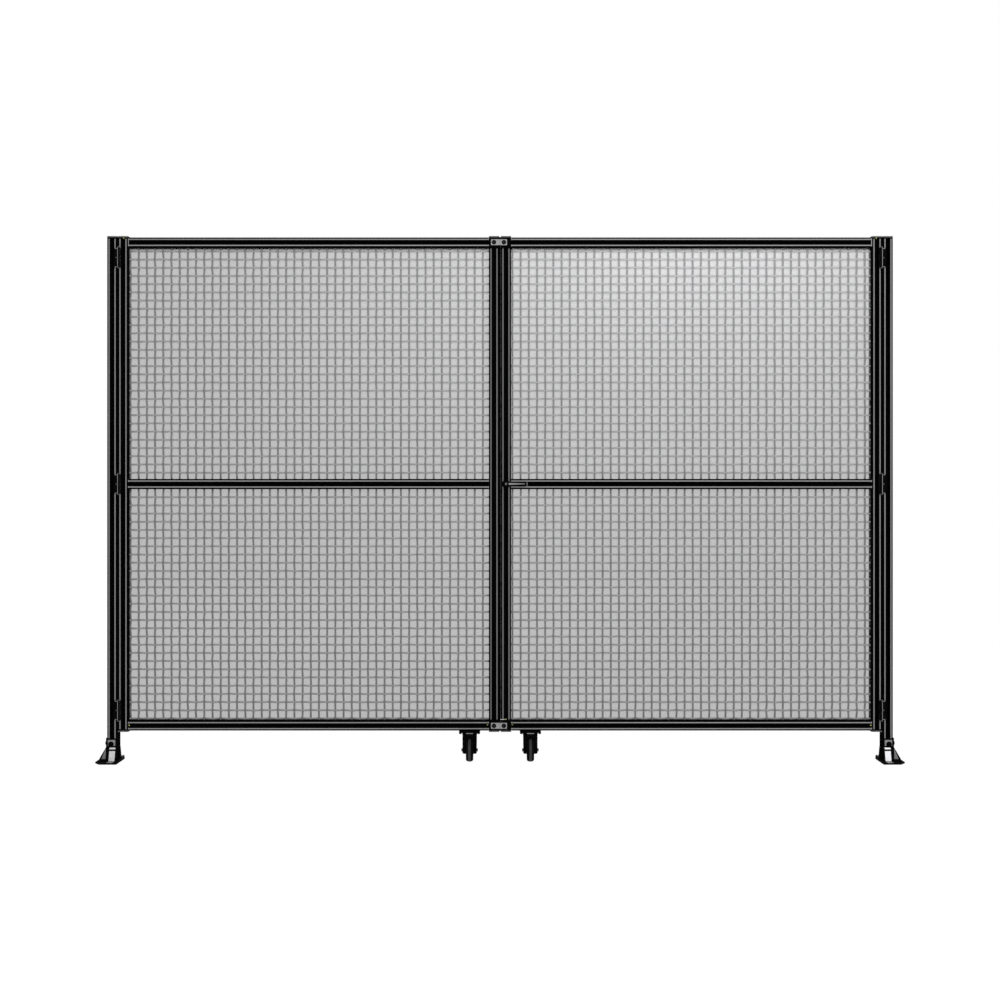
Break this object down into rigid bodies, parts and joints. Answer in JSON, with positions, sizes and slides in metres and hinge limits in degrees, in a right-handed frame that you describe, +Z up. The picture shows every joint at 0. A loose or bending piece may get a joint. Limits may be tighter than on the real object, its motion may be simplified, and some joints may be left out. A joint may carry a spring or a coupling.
{
  "type": "wire mesh partition with double door",
  "caption": "Two mesh-filled profile frame door leaves on casters, hinged between floor-mounted posts, with a lever latch.",
  "frame": {"origin": "on the floor, midway between the posts and at the middle of the profiles' depth", "axes": "+Z up, the front with the hinge barrels and the lever faces -Y, +X to the right seen from the front"},
  "size_m": [3.5206, 0.155, 2.3003],
  "materials": {
    "profile": "black anodised with lighter flats",
    "mesh": "grey crimped woven wire",
    "cast_foot": "black enamelled casting with bare grey faces",
    "end_cap": "matt black",
    "hinge_black": "satin black",
    "steel_pin": "zinc plated",
    "catch_plate": "satin grey with a black rim",
    "caster_black": "satin black",
    "wheel_rubber": "matt",
    "latch_black": "satin black"
  },
  "bodies": {
    "posts": {"left_post": "profile", "left_post_cap": "end_cap", "left_foot": "cast_foot", "left_bottom_hinge_post_half": "hinge_black", "left_middle_hinge_post_half": "hinge_black", "left_top_hinge_post_half": "hinge_black", "left_bottom_hinge_pin": "steel_pin", "left_middle_hinge_pin": "steel_pin", "left_top_hinge_pin": "steel_pin", "right_post": "profile", "right_post_cap": "end_cap", "right_foot": "cast_foot", "right_bottom_hinge_post_half": "hinge_black", "right_middle_hinge_post_half": "hinge_black", "right_top_hinge_post_half": "hinge_black", "right_bottom_hinge_pin": "steel_pin", "right_middle_hinge_pin": "steel_pin", "right_top_hinge_pin": "steel_pin"},
    "left_leaf": {"left_hinge_stile": "profile", "left_hinge_stile_top_cap": "end_cap", "left_hinge_stile_bottom_cap": "end_cap", "left_meeting_stile": "profile", "left_meeting_stile_top_cap": "end_cap", "left_meeting_stile_bottom_cap": "end_cap", "left_top_rail": "profile", "left_mid_rail": "profile", "left_bottom_rail": "profile", "left_upper_mesh": "mesh", "left_lower_mesh": "mesh", "left_top_catch_plate": "catch_plate", "left_bottom_catch_plate": "catch_plate", "left_caster_plate": "caster_black", "left_bottom_hinge_door_half": "hinge_black", "left_middle_hinge_door_half": "hinge_black", "left_top_hinge_door_half": "hinge_black"},
    "left_caster_swivel": {"left_caster_fork": "caster_black", "left_caster_axle": "steel_pin"},
    "left_caster_roller": {"left_caster_wheel": "wheel_rubber"},
    "right_leaf": {"right_hinge_stile": "profile", "right_hinge_stile_top_cap": "end_cap", "right_hinge_stile_bottom_cap": "end_cap", "right_meeting_stile": "profile", "right_meeting_stile_top_cap": "end_cap", "right_meeting_stile_bottom_cap": "end_cap", "right_top_rail": "profile", "right_mid_rail": "profile", "right_bottom_rail": "profile", "right_upper_mesh": "mesh", "right_lower_mesh": "mesh", "right_top_catch_plate": "catch_plate", "right_bottom_catch_plate": "catch_plate", "right_caster_plate": "caster_black", "right_bottom_hinge_door_half": "hinge_black", "right_middle_hinge_door_half": "hinge_black", "right_top_hinge_door_half": "hinge_black", "latch_rose": "latch_black"},
    "right_caster_swivel": {"right_caster_fork": "caster_black", "right_caster_axle": "steel_pin"},
    "right_caster_roller": {"right_caster_wheel": "wheel_rubber"},
    "latch": {"latch_lever": "latch_black"}
  },
  "joints": [
    {"name": "left_leaf_hinge", "type": "hinge", "parent": "posts", "child": "left_leaf", "pos_m": [-1.6675, -0.02915, 1.215], "axis": [0, 0, -1], "range_deg": [0, 175]},
    {"name": "left_caster_swivel", "type": "hinge", "parent": "left_leaf", "child": "left_caster_swivel", "pos_m": [-0.133, 0, 0.12], "axis": [0, 0, 1], "continuous": true},
    {"name": "left_caster_roll", "type": "hinge", "parent": "left_caster_swivel", "child": "left_caster_roller", "pos_m": [-0.133, -0.016, 0.05], "axis": [1, 0, 0], "continuous": true},
    {"name": "right_leaf_hinge", "type": "hinge", "parent": "posts", "child": "right_leaf", "pos_m": [1.6675, -0.02915, 1.215], "axis": [0, 0, 1], "range_deg": [0, 175]},
    {"name": "right_caster_swivel", "type": "hinge", "parent": "right_leaf", "child": "right_caster_swivel", "pos_m": [0.133, 0, 0.12], "axis": [0, 0, 1], "continuous": true},
    {"name": "right_caster_roll", "type": "hinge", "parent": "right_caster_swivel", "child": "right_caster_roller", "pos_m": [0.133, -0.016, 0.05], "axis": [1, 0, 0], "continuous": true},
    {"name": "latch_turn", "type": "hinge", "parent": "right_leaf", "child": "latch", "pos_m": [0.02625, 0, 1.215], "axis": [0, 1, 0], "range_deg": [0, 90]}
  ]
}
